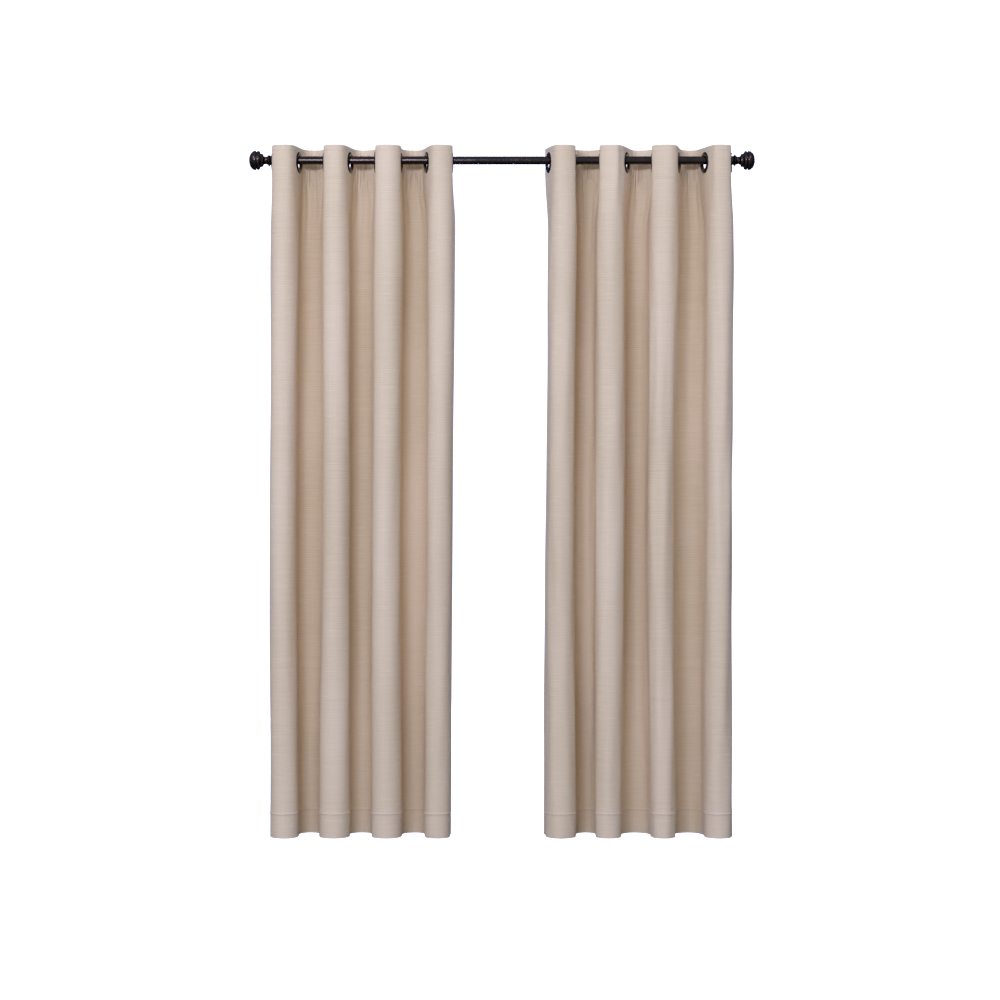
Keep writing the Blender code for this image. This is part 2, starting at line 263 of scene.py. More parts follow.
# --------------------------------------------------------------- mesh helpers
def mesh_object(name, points, quads, mats, uvs=None, slots=None, sharp=38):
    """An object from numpy arrays, in millimetres."""
    mesh = bpy.data.meshes.new(name)
    mesh.vertices.add(len(points))
    mesh.vertices.foreach_set("co", (points * MM).astype(np.float32).ravel())
    sizes = np.array([len(f) for f in quads]) if isinstance(quads, list) else np.full(len(quads), quads.shape[1])
    loops = np.concatenate([np.asarray(f) for f in quads]) if isinstance(quads, list) else quads.ravel()
    mesh.loops.add(len(loops))
    mesh.loops.foreach_set("vertex_index", loops.astype(np.int32))
    mesh.polygons.add(len(sizes))
    starts = np.concatenate([[0], np.cumsum(sizes)[:-1]])
    mesh.polygons.foreach_set("loop_start", starts.astype(np.int32))
    if slots is not None:
        mesh.polygons.foreach_set("material_index", slots.astype(np.int32))
    if uvs is not None:
        layer = mesh.uv_layers.new(name="cloth")
        layer.data.foreach_set("uv", uvs[loops].astype(np.float32).ravel())
    mesh.update(calc_edges=True)
    mesh.validate()
    for mat in mats:
        mesh.materials.append(mat)
    mesh.shade_smooth()
    mesh.set_sharp_from_angle(angle=math.radians(sharp))
    obj = bpy.data.objects.new(name, mesh)
    bpy.context.scene.collection.objects.link(obj)
    return obj


def lathe(profile, sides, closed=True):
    """Points and faces of a profile of (radius, height) turned about Z.

    A closed profile is a ring; an open one ends on the axis at both ends.
    """
    profile = np.array(profile, float)
    angles = np.arange(sides) * 2 * math.pi / sides
    c, s = np.cos(angles), np.sin(angles)
    faces, points, rows = [], [], []
    for r, h in profile:
        if r < 1e-6:
            rows.append([len(points)] * sides)
            points.append((0.0, 0.0, h))
        else:
            rows.append(list(range(len(points), len(points) + sides)))
            points.extend(zip(r * c, r * s, [h] * sides))
    count = len(profile)
    for i in range(count if closed else count - 1):
        a, b = rows[i], rows[(i + 1) % count]
        for j in range(sides):
            k = (j + 1) % sides
            face = [a[j], a[k], b[k], b[j]]
            face = [v for m, v in enumerate(face) if v != face[m - 1]]
            if len(face) > 2:
                faces.append(face)
    return np.array(points, float), faces


def turned_object(name, profile, sides, matrix, mats, closed=True, sharp=32):
    points, faces = lathe(profile, sides, closed)
    m = np.array(matrix)
    points = points @ m[:3, :3].T + m[:3, 3]
    obj = mesh_object(name, points, faces, mats, sharp=sharp)
    bm = bmesh.new()
    bm.from_mesh(obj.data)
    bmesh.ops.recalc_face_normals(bm, faces=bm.faces)
    bm.to_mesh(obj.data)
    bm.free()
    obj.data.set_sharp_from_angle(angle=math.radians(sharp))
    return obj


def rounded(points, times=2):
    """Corner-cutting on an open profile, which keeps its two ends."""
    line = np.array(points, float)
    for _ in range(times):
        cut = [line[0]]
        for a, b in zip(line[:-1], line[1:]):
            cut += [a * 0.75 + b * 0.25, a * 0.25 + b * 0.75]
        cut.append(line[-1])
        line = np.array(cut)
    return line


def smooth_line(points, per=6):
    """A Catmull-Rom line through points."""
    p = np.array(points, float)
    p = np.vstack([2 * p[0] - p[1], p, 2 * p[-1] - p[-2]])
    out = []
    for i in range(1, len(p) - 2):
        for t in np.arange(per) / per:
            a, b, c, d = p[i - 1], p[i], p[i + 1], p[i + 2]
            out.append(
                0.5 * ((2 * b) + (c - a) * t + (2 * a - 5 * b + 4 * c - d) * t**2 + (3 * b - a - 3 * c + d) * t**3)
            )
    out.append(p[-2])
    return np.array(out)


def step(low, high, x):
    t = np.clip((x - low) / (high - low), 0, 1)
    return t * t * (3 - 2 * t)


# ------------------------------------------------------------ how cloth hangs
def lean_for(pitch):
    low, high = 0.0, math.radians(40)
    for _ in range(60):
        lean = (low + high) / 2
        radius = (SPACING - FLAT_RUN) / (math.pi - 2 * lean)
        if FLAT_RUN * math.sin(lean) + 2 * radius * math.cos(lean) < pitch:
            low = lean
        else:
            high = lean
    return lean


def header_wave(q, lean, pitch):
    """A half wave under the stiff header: flat at the grommets, round at the
    crest. q is the cloth's own length from the grommet, 0 to SPACING."""
    half = FLAT_RUN / 2
    radius = (SPACING - FLAT_RUN) / (math.pi - 2 * lean)
    m = np.minimum(q, SPACING - q)
    a = lean + np.maximum(m - half, 0) / radius
    bent_x = half * math.sin(lean) + radius * (math.cos(lean) - np.cos(a))
    bent_y = half * math.cos(lean) + radius * (np.sin(a) - math.sin(lean))
    x = np.where(m <= half, m * math.sin(lean), bent_x)
    y = np.where(m <= half, m * math.cos(lean), bent_y)
    x = np.where(q > SPACING / 2, pitch - x, x)
    return x, y


def free_wave_table(pitch):
    """The shape that a hanging sheet takes between the same two lines: its
    slope follows a cosine of its own length."""
    q = np.linspace(0, SPACING, 1441)
    low, high = 0.2, 2.2
    for _ in range(50):
        w = (low + high) / 2
        slope = w * np.cos(math.pi * q / SPACING)
        span = np.trapz(np.cos(slope), q)
        if span > pitch:
            low = w
        else:
            high = w
    dx, dy = np.cos(slope), np.sin(slope)
    gap = q[1] - q[0]
    x = np.concatenate([[0], np.cumsum((dx[1:] + dx[:-1]) / 2 * gap)])
    y = np.concatenate([[0], np.cumsum((dy[1:] + dy[:-1]) / 2 * gap)])
    return q, x, y


class Panel:
    """One panel. place(u, v) gives the middle of the cloth at u along its
    width from the outer side edge, and v below its top edge."""

    def __init__(self, side, seed):
        facts = PANELS[side]
        self.side, self.outer = side, facts["outer"]
        self.pitch, self.way = facts["pitch"], facts["way"]
        self.lean = lean_for(self.pitch)
        self.table = free_wave_table(self.pitch)
        self.folds = FOLDS[side]
        self.head = [float(self.stray(k, np.array(LEVELS[0]))) for k in range(GROMMETS)]
        self.tilt = np.clip(self.head, -TILT_MOST, TILT_MOST)
        # The right end grommet stays square, to clear its finial when drawn.
        if self.way < 0:
            self.tilt[0] = 0.0
        rng = np.random.default_rng(seed)
        self.swing = rng.uniform(-1, 1, (9, 3))
        self.depth = rng.uniform(-1, 1, (9, 3))
        self.phase = rng.uniform(0, 2 * math.pi, (9, 6))
        self.ripples = [
            (
                rng.uniform(38, 95), rng.uniform(420, 1300), rng.uniform(0, 6.28),
                rng.uniform(0, 6.28), rng.uniform(0.25, 0.7),
            )
            for _ in range(9)
        ]

    def crest_mix(self, s, values):
        """values[j] at crest j, smoothly shared between crests."""
        total = np.zeros_like(s)
        for j in range(-1, 8):
            d = np.abs(s - SPACING * (j + 0.5)) / SPACING
            total = total + np.where(d < 1, np.cos(np.clip(d, 0, 1) * math.pi / 2) ** 2, 0) * values[j + 1]
        return total

    def place(self, u, v):
        u, v = np.broadcast_arrays(np.asarray(u, float), np.asarray(v, float))
        s = u - MARGIN
        n = np.clip(np.floor(s / SPACING), -1, GROMMETS - 1)
        q = s - n * SPACING
        side = np.where(n % 2 == 0, -1.0, 1.0)
        hx, hy = header_wave(q, self.lean, self.pitch)
        tq, tx, ty = self.table
        fx, fy = np.interp(q, tq, tx), np.interp(q, tq, ty)
        free = step(95, 420, v) * 0.9
        along = n * self.pitch + hx + (fx - hx) * free
        out = side * (hy + (fy - hy) * free)

        # Each fold wanders a little on its way down.
        ramp = step(105, 520, v)
        t = v / DROP
        swing, depth = [], []
        for j in range(9):
            a, b = self.swing[j], self.depth[j]
            p = self.phase[j]
            swing.append(
                ramp * (3.2 * a[0] * np.sin(2.2 * t + p[0]) + 2.0 * a[1] * np.sin(5.1 * t + p[1]) + 2.4 * a[2] * t)
            )
            depth.append(
                ramp * (3.0 * b[0] * np.sin(2.6 * t + p[2]) + 1.8 * b[1] * np.sin(5.7 * t + p[3]) + 1.5 * b[2] * t)
            )
        along = along + self.crest_mix(s, swing)
        out = out + self.crest_mix(s, depth)
        out = out * (1 + 0.07 * step(500, DROP, v))
        x = self.outer + self.way * along + LEAN_X * step(60, DROP, v)
        x = x + self.wander(s, v, out)
        y = ROD_Y + out
        z = CLOTH_TOP - v
        return np.stack([x, y, z], -1)

    def stray(self, k, v):
        """How far the side of a fold at grommet k stands to the right."""
        middle, wider = self.folds["middle"][k // 2], self.folds["wider"][k // 2]
        edge = 1 if (k % 2 == 1) == (self.way > 0) else -1
        low, mid, foot = LEVELS
        down, last = step(low, mid, v), step(mid, foot, v)

        def at(three):
            return three[0] + (three[1] - three[0]) * down + (three[2] - three[1]) * last

        neck = NECK * step(60, 140, v) * (1 - step(300, 800, v))
        return at(middle) + edge * (at(wider) + neck) / 2

    def wander(self, s, v, out):
        """How far the cloth stands to the right of its even place: in the
        header each grommet turns a little about the rod, and below it the
        sides of the folds drift."""
        free = step(78, 250, v)
        total = np.zeros_like(s)
        for k in range(GROMMETS):
            d = s - SPACING * k
            front = d if k % 2 == 0 else -d
            turn = self.tilt[k] * np.clip(-out / TILT_REACH, -1.25, 1.25) * (1 - step(40, 87, np.abs(d)))
            rest = (self.head[k] - self.tilt[k]) * np.where(
                np.abs(front - 60) < 28, np.cos(np.clip((front - 60) / 28, -1, 1) * math.pi / 2) ** 2, 0
            )
            place = self.stray(k, v)
            near = np.clip(np.abs(front - 8) / SPACING, 0, 1)
            loose = place * np.cos(near * math.pi / 2) ** 2
            total = total + (turn + rest) * (1 - free) + loose * free
        return total

    def relief(self, u, v):
        """How far the cloth stands out along its own normal."""
        s = u - MARGIN
        height = np.zeros_like(s + v)
        # Puckers gathered under the header, deepest in the back folds.
        hang = (0.45 + 0.55 * step(20, 52, v)) * (1 - step(86, 150, v))
        tail = step(86, 110, v) * (1 - step(150, 330, v))
        for j in range(7):
            d = (s - SPACING * (j + 0.5)) / 66.0
            window = np.where(np.abs(d) < 1, np.cos(np.clip(d, -1, 1) * math.pi / 2) ** 1.2, 0)
            p = self.phase[j + 1]
            drift = 3.0 * np.sin(v / 34.0 + p[4]) + 0.03 * (v - 50) * np.sin(s / 23.0 + p[5])
            wave = (
                np.sin(2 * math.pi * (s + drift) / 13.7 + p[0])
                + 0.7 * np.sin(2 * math.pi * (s - drift) / 9.9 + p[1])
                + 0.5 * np.sin(2 * math.pi * (s + 0.6 * drift) / 21.0 + p[2])
            )
            slow = np.sin(2 * math.pi * (s + drift) / 27.0 + p[3])
            share = 1.9 if j % 2 else 0.07
            height = height + window * share * (hang * wave + 0.9 * tail * slow)
        # Long shallow ripples in the free cloth.
        free = step(130, 430, v)
        for across, down, a, b, size in self.ripples:
            height = height + free * size * np.sin(2 * math.pi * s / across + a) * np.sin(2 * math.pi * v / down + b)
        # The bottom hem is doubled, so the cloth below its stitches is fuller.
        hem = DROP - v
        height = height + 0.45 * step(HEM, HEM - 7, hem)
        # The stitches pull the cloth in.
        height = height - 0.95 * np.exp(-(((hem - HEM) / 2.0) ** 2))
        height = height - 0.45 * np.exp(-(((v - TOP_STITCH) / 1.2) ** 2))
        # Along the hem's stitches the cloth gathers slightly.
        tight = np.exp(-(((hem - HEM) / 13.0) ** 2))
        height = height + 0.36 * tight * np.sin(2 * math.pi * s / 9.7 + 1.1 * np.sin(s / 37.0))
        return height

    def thickness(self, u, v):
        """The cloth's thickness behind its middle, where hems double it."""
        edge = np.minimum(u, WIDTH - u)
        double = np.maximum(step(HEM + 0.8, HEM - 0.4, DROP - v), step(HEADER + 0.6, HEADER - 0.6, v))
        double = np.maximum(double, step(SIDE_HEM + 0.8, SIDE_HEM - 0.4, edge))
        return 0.42 + 0.5 * double

    def normals(self, u, v, points=None):
        e = 0.4
        du = self.place(u + e, v) - self.place(u - e, v)
        dv = self.place(u, v + e) - self.place(u, v - e)
        normal = np.cross(du, dv) * self.way
        return normal / np.linalg.norm(normal, axis=-1, keepdims=True)

    def surface(self, u, v):
        """Front and back of the cloth."""
        p, n = self.place(u, v), self.normals(u, v)
        flat = self.flatness(u, v)
        h = (self.relief(u, v) * flat)[..., None]
        mid = p + n * h
        return mid + n * 0.42, mid - n * self.thickness(u, v)[..., None], n

    def flatness(self, u, v):
        """Zero under a grommet's flange, where the metal holds the cloth."""
        flat = np.ones_like(u + v)
        for k in range(GROMMETS):
            r = np.hypot(u - MARGIN - SPACING * k, v - EYELET_V)
            flat = np.minimum(flat, step(34, 52, r))
        return flat


LEAN_X = -7.0      # how far the free cloth hangs to one side at its foot
HEM = 75.0
HEADER = 104.0
SIDE_HEM = 25.0
TOP_STITCH = 14.0
HOLE = 26.5        # the cut edge is out of sight between barrel and flange


def rows_down():
    """Where the rows of the cloth's mesh lie, closer near stitches."""
    rows = list(np.linspace(0, 11.5, 6))
    rows += list(np.arange(12.4, 16.0, 0.6))
    rows += list(np.arange(17.2, 176, 3.0))
    rows += list(np.arange(180, DROP - HEM - 14, 6.6))
    rows += list(np.arange(DROP - HEM - 12, DROP - HEM - 3, 2.2))
    rows += list(np.arange(DROP - HEM - 3, DROP - HEM + 3.4, 0.7))
    rows += list(np.arange(DROP - HEM + 5, DROP - 2, 3.2))
    rows += [DROP - 1.2, DROP - 0.4, DROP]
    return np.array(rows)


def stitch_run(panel, us, vs, front, radius=0.34, rise=0.22):
    """Stitches along a line given by points, as short plump threads."""
    runs = len(us) - 1
    if runs < 1:
        return np.zeros((0, 3)), np.zeros((0, 4), int), np.zeros((0, 2))
    count, ring = 5, 6
    t = np.linspace(0.1, 0.9, count)[None, :]
    u = us[:-1, None] + (us[1:] - us[:-1])[:, None] * t
    v = vs[:-1, None] + (vs[1:] - vs[:-1])[:, None] * t
    top, bottom, normal = panel.surface(u, v)
    base, normal = (top, normal) if front else (bottom, -normal)
    arch = np.sin(np.linspace(0, math.pi, count))
    middle = base + normal * (rise * arch - 0.1)[None, :, None]
    ahead = np.gradient(middle, axis=1)
    ahead /= np.linalg.norm(ahead, axis=-1, keepdims=True)
    across = np.cross(ahead, normal)
    a = np.arange(ring) * 2 * math.pi / ring
    r = (radius * (0.35 + 0.65 * arch))[None, :, None, None]
    points = (
        middle[:, :, None] + across[:, :, None] * np.cos(a)[:, None] * r
        + normal[:, :, None] * np.sin(a)[:, None] * r
    )
    quads = []
    for i in range(count - 1):
        for j in range(ring):
            k, m = i * ring + j, i * ring + (j + 1) % ring
            quads.append([k, k + ring, m + ring, m])
    last = (count - 1) * ring
    quads += [[0, 1, 2, 3], [0, 3, 4, 5], [last + 3, last + 2, last + 1, last], [last + 5, last + 4, last + 3, last]]
    quads = np.array(quads)[None] + (np.arange(runs) * count * ring)[:, None, None]
    uvs = np.repeat(np.stack([u, v], -1).reshape(-1, 2) * MM, ring, axis=0)
    return points.reshape(-1, 3), quads.reshape(-1, 4), uvs


def cloth_piece(panel, wave):
    """The cloth from one grommet's middle to the next, with the side margin
    on the first and the last, as a thin closed shell with its stitches."""
    first, last = wave == 0, wave == GROMMETS - 2
    u0, u1 = MARGIN + SPACING * wave, MARGIN + SPACING * (wave + 1)
    across = np.linspace(u0, u1, 93 if wave % 2 else 73)
    if first:
        across = np.concatenate([[0.0, 0.4, 1.2, 3.0], np.linspace(5.0, u0, 14)[:-1], across])
    if last:
        across = np.concatenate([across, WIDTH - np.concatenate([[0.0, 0.4, 1.2, 3.0], np.linspace(5.0, MARGIN, 14)[:-1]])[::-1]])
    down = rows_down()
    U, V = np.meshgrid(across, down, indexing="ij")
    front, back, normal = panel.surface(U, V)
    # Rounded outer edges: the two faces draw together at the folded edge.
    thin = np.minimum(np.minimum(V, DROP - V), np.where(first, U, 1e9))
    thin = np.minimum(thin, np.where(last, WIDTH - U, 1e9))
    pull = np.sqrt(np.clip(thin / 1.2, 0.0, 1.0))[..., None] * 0.72 + 0.28
    middle = (front + back) / 2
    front, back = middle + (front - middle) * pull, middle + (back - middle) * pull

    nu, nv = U.shape
    index = np.arange(nu * nv).reshape(nu, nv)
    cu = (U[:-1, :-1] + U[1:, 1:]) / 2
    cv = (V[:-1, :-1] + V[1:, 1:]) / 2
    keep = np.ones(cu.shape, bool)
    for k in (wave, wave + 1):
        keep &= np.hypot(cu - MARGIN - SPACING * k, cv - EYELET_V) > HOLE
    a, b = index[:-1, :-1][keep], index[1:, :-1][keep]
    c, d = index[1:, 1:][keep], index[:-1, 1:][keep]
    size = nu * nv
    front_q = np.stack([a, b, c, d], 1)
    back_q = np.stack([d, c, b, a], 1) + size
    # Rims: every open edge of the front joins the back.
    edges = np.concatenate([front_q[:, [0, 1]], front_q[:, [1, 2]], front_q[:, [2, 3]], front_q[:, [3, 0]]])
    key = np.minimum(edges[:, 0], edges[:, 1]) * size + np.maximum(edges[:, 0], edges[:, 1])
    unique, where, counts = np.unique(key, return_index=True, return_counts=True)
    rim = edges[where[counts == 1]]
    rim_q = np.stack([rim[:, 1], rim[:, 0], rim[:, 0] + size, rim[:, 1] + size], 1)
    quads = np.concatenate([front_q, back_q, rim_q])
    points = np.concatenate([front.reshape(-1, 3), back.reshape(-1, 3)])
    uv = np.stack([U.ravel() * MM, V.ravel() * MM], 1)
    uvs = np.concatenate([uv, uv])
    used = np.unique(quads)
    remap = np.full(len(points), -1)
    remap[used] = np.arange(len(used))
    points, uvs, quads = points[used], uvs[used], remap[quads]
    # Which way the front faces is read from the surface itself.
    f = points[quads[0]]
    if np.dot(np.cross(f[1] - f[0], f[2] - f[0]), normal.reshape(-1, 3)[a[0]]) < 0:
        quads = quads[:, ::-1]
    slots = np.zeros(len(quads), int)

    parts = [(points, quads, uvs, slots)]
    runs = []
    low, high = across[0] + 2.0 if first else u0, across[-1] - 2.0 if last else u1
    pitch = 4.0
    line = np.arange(math.ceil(low / pitch) * pitch, high, pitch)
    runs.append((line, np.full(len(line), TOP_STITCH)))
    runs.append((line, np.full(len(line), DROP - HEM)))
    sides = ([SIDE_HEM - 2.0] if first else []) + ([WIDTH - SIDE_HEM + 2.0] if last else [])
    for u in sides:
        v = np.arange(TOP_STITCH + 2, DROP - HEM - 1, 6.4)
        runs.append((np.full(len(v), u), v))
    for us, vs in runs:
        for is_front in (True, False):
            p, qd, t = stitch_run(panel, us, vs, is_front)
            if len(p):
                parts.append((p, qd, t, np.ones(len(qd), int)))
    total, P, Q, T, S = 0, [], [], [], []
    for p, qd, t, sl in parts:
        P.append(p)
        Q.append(qd + total)
        T.append(t)
        S.append(sl)
        total += len(p)
    obj = mesh_object(
        f"{panel.side}_curtain_fold_{wave + 1}", np.concatenate(P), np.concatenate(Q),
        [CLOTH, THREAD], np.concatenate(T), np.concatenate(S), sharp=50,
    )
    return obj


# -------------------------------------------------------------------- grommets
def grommet(panel, k):
    """k from 0, the outermost. The flange with its barrel, and the washer."""
    sign = -1.0 if k % 2 == 0 else 1.0
    t = Vector((panel.way * math.sin(panel.lean), sign * math.cos(panel.lean), 0))
    t.x -= panel.tilt[k] / TILT_REACH * t.y
    t.normalize()
    normal = Vector((t.y, -t.x, 0)) * panel.way
    turn = normal.to_track_quat("Z", "Y").to_matrix().to_4x4()
    centre = Matrix.Translation((panel.outer + panel.way * panel.pitch * k, ROD_Y, -RING_DROP))
    matrix = centre @ turn
    body = f"{panel.side}_strip_{k + 1}"
    outer = smooth_line(
        [
            (20.0, 1.4), (20.25, 2.7), (21.1, 3.7), (22.6, 4.2), (24.8, 4.35),
            (27.4, 4.15), (29.8, 3.5), (31.7, 2.5), (32.8, 1.55), (33.0, 1.15),
        ], 4,
    )
    curl = smooth_line(
        [
            (23.6, -3.95), (23.5, -4.45), (22.7, -4.85), (21.6, -4.9), (20.6, -4.4),
            (20.0, -3.4),
        ], 4,
    )
    profile = [tuple(p) for p in outer] + [(32.7, 0.98), (22.0, 0.98), (22.0, -3.9), (23.2, -3.9)]
    profile += [tuple(p) for p in curl]
    ring = turned_object(f"{panel.side}_grommet_flange_{k + 1}", profile, 72, matrix, [RING_METAL])
    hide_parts(f"{panel.side}_grommet_{k + 1}")
    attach(ring, body)
    back = smooth_line(
        [
            (33.0, -1.25), (32.7, -1.75), (31.4, -2.6), (29.4, -3.3), (27.2, -3.7),
            (24.9, -3.85), (23.2, -3.8), (22.4, -3.7),
        ], 4,
    )
    profile = [(22.3, -1.02), (32.7, -1.02)] + [tuple(p) for p in back] + [(22.3, -3.4)]
    washer = turned_object(f"{panel.side}_grommet_back_{k + 1}", profile, 72, matrix, [RING_METAL])
    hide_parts(f"{panel.side}_grommet_washer_{k + 1}")
    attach(washer, body)
    return ring, washer


# ------------------------------------------------------------ rod and finials
ALONG_X = Matrix.Rotation(math.radians(90), 4, "Y")
ALONG_NEG_X = Matrix.Rotation(math.radians(-90), 4, "Y")
AT_ROD = Matrix.Translation((0, ROD_Y, 0))

FINIAL = [
    (13.9, 714.6), (14.2, 716.6), (15.6, 718.6), (18.9, 720.0), (19.8, 721.3),
    (18.6, 722.8), (15.0, 724.4), (12.6, 727.6), (11.6, 731.4), (12.0, 735.2),
    (14.6, 737.2), (18.6, 739.2), (20.2, 743.6), (21.4, 746.4), (24.8, 748.2),
    (28.2, 751.6), (29.4, 755.4), (28.6, 758.6), (26.0, 760.0), (28.8, 761.5),
    (30.0, 764.8), (29.2, 768.9), (26.6, 773.4), (22.2, 777.6), (15.6, 781.3),
    (7.6, 783.3),
]


def rod():
    profile = [(ROD_R - 1.0, -ROD_HALF), (ROD_R - 0.3, -ROD_HALF), (ROD_R, -ROD_HALF + 0.3)]
    profile += [(ROD_R, x) for x in np.linspace(-ROD_HALF + 1, ROD_HALF - 1, 60)]
    profile += [(ROD_R, ROD_HALF - 0.3), (ROD_R - 0.3, ROD_HALF), (ROD_R - 1.0, ROD_HALF)]
    tube = turned_object("rod_tube", profile, 96, AT_ROD @ ALONG_X, [ROD_METAL])
    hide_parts("curtain_rod")
    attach(tube, "root")


def thread_profile(start, stop, radius, pitch, depth):
    """A run of thread crests, as the profile of a turned stud."""
    line, x = [], start
    while x < stop - pitch:
        line += [(radius - depth, x), (radius, x + pitch * 0.4), (radius, x + pitch * 0.6), (radius - depth, x + pitch)]
        x += pitch
    return line


def finial(side, way):
    matrix = AT_ROD @ (ALONG_X if way > 0 else ALONG_NEG_X)
    # The turned body, with its sharp groove and steps kept crisp.
    runs = [FINIAL[0:14], FINIAL[13:19], FINIAL[18:26] + [(0.0, 783.8)]]
    body = []
    for run in runs:
        line = smooth_line(run, 5)
        line[:, 0] = np.clip(line[:, 0], 0, 30.0)
        body += [tuple(p) for p in line[(1 if body else 0):]]
    body[-1] = (0.0, 783.8)
    start = ROD_HALF - 20.0
    stud = [(0.0, start), (2.6, start)] + thread_profile(start + 1.0, 714.0, 3.9, 1.25, 0.55)
    stud += [(3.4, 714.5), (3.4, 716.8), (12.7, 716.8), (13.0, 716.5), (13.0, 714.9), (13.3, 714.6), (13.6, 714.5)]
    obj = turned_object(f"{side}_finial_turned", stud + body, 112, matrix, [CAST_METAL], closed=False, sharp=40)
    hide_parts(f"{side}_finial")
    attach(obj, f"{side}_finial")


# -------------------------------------------------------------------- brackets
def boolean(obj, tool, operation):
    change = obj.modifiers.new("cut", "BOOLEAN")
    change.operation, change.solver, change.object = operation, "EXACT", tool
    bpy.context.view_layer.update()
    dg = bpy.context.evaluated_depsgraph_get()
    made = bpy.data.meshes.new_from_object(obj.evaluated_get(dg))
    obj.modifiers.clear()
    old = obj.data
    obj.data = made
    bpy.data.meshes.remove(old)
    bpy.data.objects.remove(tool, do_unlink=True)


def prism(name, outline, low, high, matrix, mats):
    """An outline in XY between two heights, moved by matrix."""
    n = len(outline)
    points = np.array([(x, y, low) for x, y in outline] + [(x, y, high) for x, y in outline], float)
    faces = [list(range(n))[::-1], list(range(n, 2 * n))]
    faces += [[i, (i + 1) % n, n + (i + 1) % n, n + i] for i in range(n)]
    m = np.array(matrix)
    points = points @ m[:3, :3].T + m[:3, 3]
    obj = mesh_object(name, points, faces, mats, sharp=30)
    bm = bmesh.new()
    bm.from_mesh(obj.data)
    bmesh.ops.recalc_face_normals(bm, faces=bm.faces)
    bm.to_mesh(obj.data)
    bm.free()
    return obj


def settle(obj, width, segments=3, angle=32, sharp=35):
    """Softened edges, made part of the mesh."""
    change = obj.modifiers.new("edge", "BEVEL")
    change.width, change.segments = width * MM, segments
    change.limit_method, change.angle_limit = "ANGLE", math.radians(angle)
    change.use_clamp_overlap = True
    bpy.context.view_layer.update()
    dg = bpy.context.evaluated_depsgraph_get()
    made = bpy.data.meshes.new_from_object(obj.evaluated_get(dg))
    obj.modifiers.clear()
    old = obj.data
    obj.data = made
    bpy.data.meshes.remove(old)
    obj.data.shade_smooth()
    obj.data.set_sharp_from_angle(angle=math.radians(sharp))


YZ = Matrix(((0, 0, 1, 0), (1, 0, 0, 0), (0, 1, 0, 0), (0, 0, 0, 1)))
XZ = Matrix(((1, 0, 0, 0), (0, 0, -1, 0), (0, 1, 0, 0), (0, 0, 0, 1)))
INTO_ROOM = Matrix.Rotation(math.radians(90), 4, "X")
TO_WALL = Matrix.Rotation(math.radians(-90), 4, "X")


